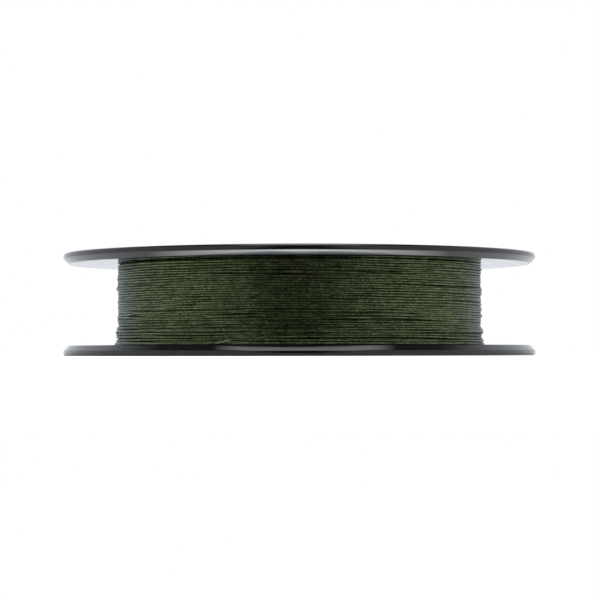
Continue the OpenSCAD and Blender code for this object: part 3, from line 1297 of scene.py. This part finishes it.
# %% Paint the front film
FRONT_BAND = (33.0, 3.6)
FRONT_RINGS = ((37.1, 0.18), (28.9, 0.18), (39.2, 0.35), (14.6, 0.35))
HATCHES = 96
HATCH_SLANT = 2600
TICKS = 36
TICK_RING = (26.6, 0.9)
TICK_GAIN, TICK_FROM = 8, 7.2
HATCH_GAIN = 3
FILM_DARK = (0.020, 0.029, 0.013)
FILM_OLIVE = (0.026, 0.037, 0.017)
HATCH_OLIVE = (0.075, 0.098, 0.040)
RING_PALE = (0.42, 0.44, 0.38)


def paint_front_film(shader):
    """Olive, a paler net in the band, and pale rings and ticks over both."""
    radius, angle = polar(shader)
    place = shader.place()
    one_way = (angle * HATCHES + radius * HATCH_SLANT).math("SINE")
    other_way = (angle * HATCHES - radius * HATCH_SLANT).math("SINE")
    weave = (one_way * other_way * HATCH_GAIN + 0.5).clamped()
    net = ring_mask(radius, *FRONT_BAND) * weave
    ticks = ((angle * TICKS).math("COSINE") * TICK_GAIN - TICK_FROM).clamped()
    ticks = ticks * ring_mask(radius, *TICK_RING)
    printed = (ring_masks(radius, FRONT_RINGS) + ticks).clamped()
    tooth = shader.noise(place, 2500, detail=2)
    ground = shader.mix(shader.noise(place, 45, detail=2), FILM_DARK, FILM_OLIVE)
    woven = shader.mix(net, ground, HATCH_OLIVE)
    return {
        "Base Color": shader.mix(printed, woven, RING_PALE),
        "Roughness": 0.34 + tooth * 0.1 - net * 0.1,
        "Normal": shader.bump(0.15, 0.02 * MM, tooth),
    }


front_film = finish("front_film", paint_front_film)

# %% [markdown]
# ## The rear film
# It is a metallised film that was brushed in circles, so its noise is stretched along them: fine
# across the radius and long round the axis. Dark rings are printed over it, and ink isn't metal,
# so the metal sinks where they are.

# %% Paint the rear film
REAR_RINGS = ((39.0, 0.3), (15.0, 0.3), (36.5, 0.12), (36.0, 0.12))
BRUSH_SCALE = 9000
GREY_DULL = (0.27, 0.28, 0.27)
GREY_BRIGHT = (0.38, 0.39, 0.38)
GREY_SHADE = (0.30, 0.31, 0.30)
RING_DARK = (0.03, 0.035, 0.03)


def paint_rear_film(shader):
    """Silver grey brushed in circles, a little cloudy, and dark rings over it."""
    radius, angle = polar(shader)
    brush = shader.noise(shader.vector(radius * BRUSH_SCALE, angle * 3), 1, detail=2)
    shade = shader.noise(shader.place(), 40, detail=2)
    printed = ring_masks(radius, REAR_RINGS).clamped()
    silver = shader.mix(brush, GREY_DULL, GREY_BRIGHT)
    silver = shader.mix(shade * 0.3, silver, GREY_SHADE)
    return {
        "Base Color": shader.mix(printed, silver, RING_DARK),
        "Metallic": 0.35 - printed * 0.3,
        "Roughness": 0.38 + brush * 0.12,
        "Normal": shader.bump(0.12, 0.02 * MM, brush),
    }


rear_film = finish("rear_film", paint_rear_film)

# %% [markdown]
# ## Lay the films in
# A film is a thin flat ring round the boss, as large as its packed node. The packed ring has sharp
# edges that never catch the light, so it is lathed again with small rounds.

# %% Add both labels
LABEL_HOLE_R = 13.5 * MM
LABEL_ROUND = 0.05 * MM


def label_shell(node):
    """The packed label's box as a lathed ring, from its hole out to its rim."""
    low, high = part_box(node)
    return lathe(ring_section(LABEL_HOLE_R, high.x, low.z, high.z, LABEL_ROUND))


for side, film in (("front", front_film), ("rear", rear_film)):
    label = add_piece(side + "_label_film", [label_shell(side + "_label")], film, sharp=60)
    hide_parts(side + "_label")
    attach(label, "root")

# %% [markdown]
# ## The packed size
# The dressed spool must be as large as the packed one, whose box is printed here in
# millimetres.

# %% Print the packed box
print("cad box mm", [[round(value / MM, 2) for value in corner] for corner in cad_box])
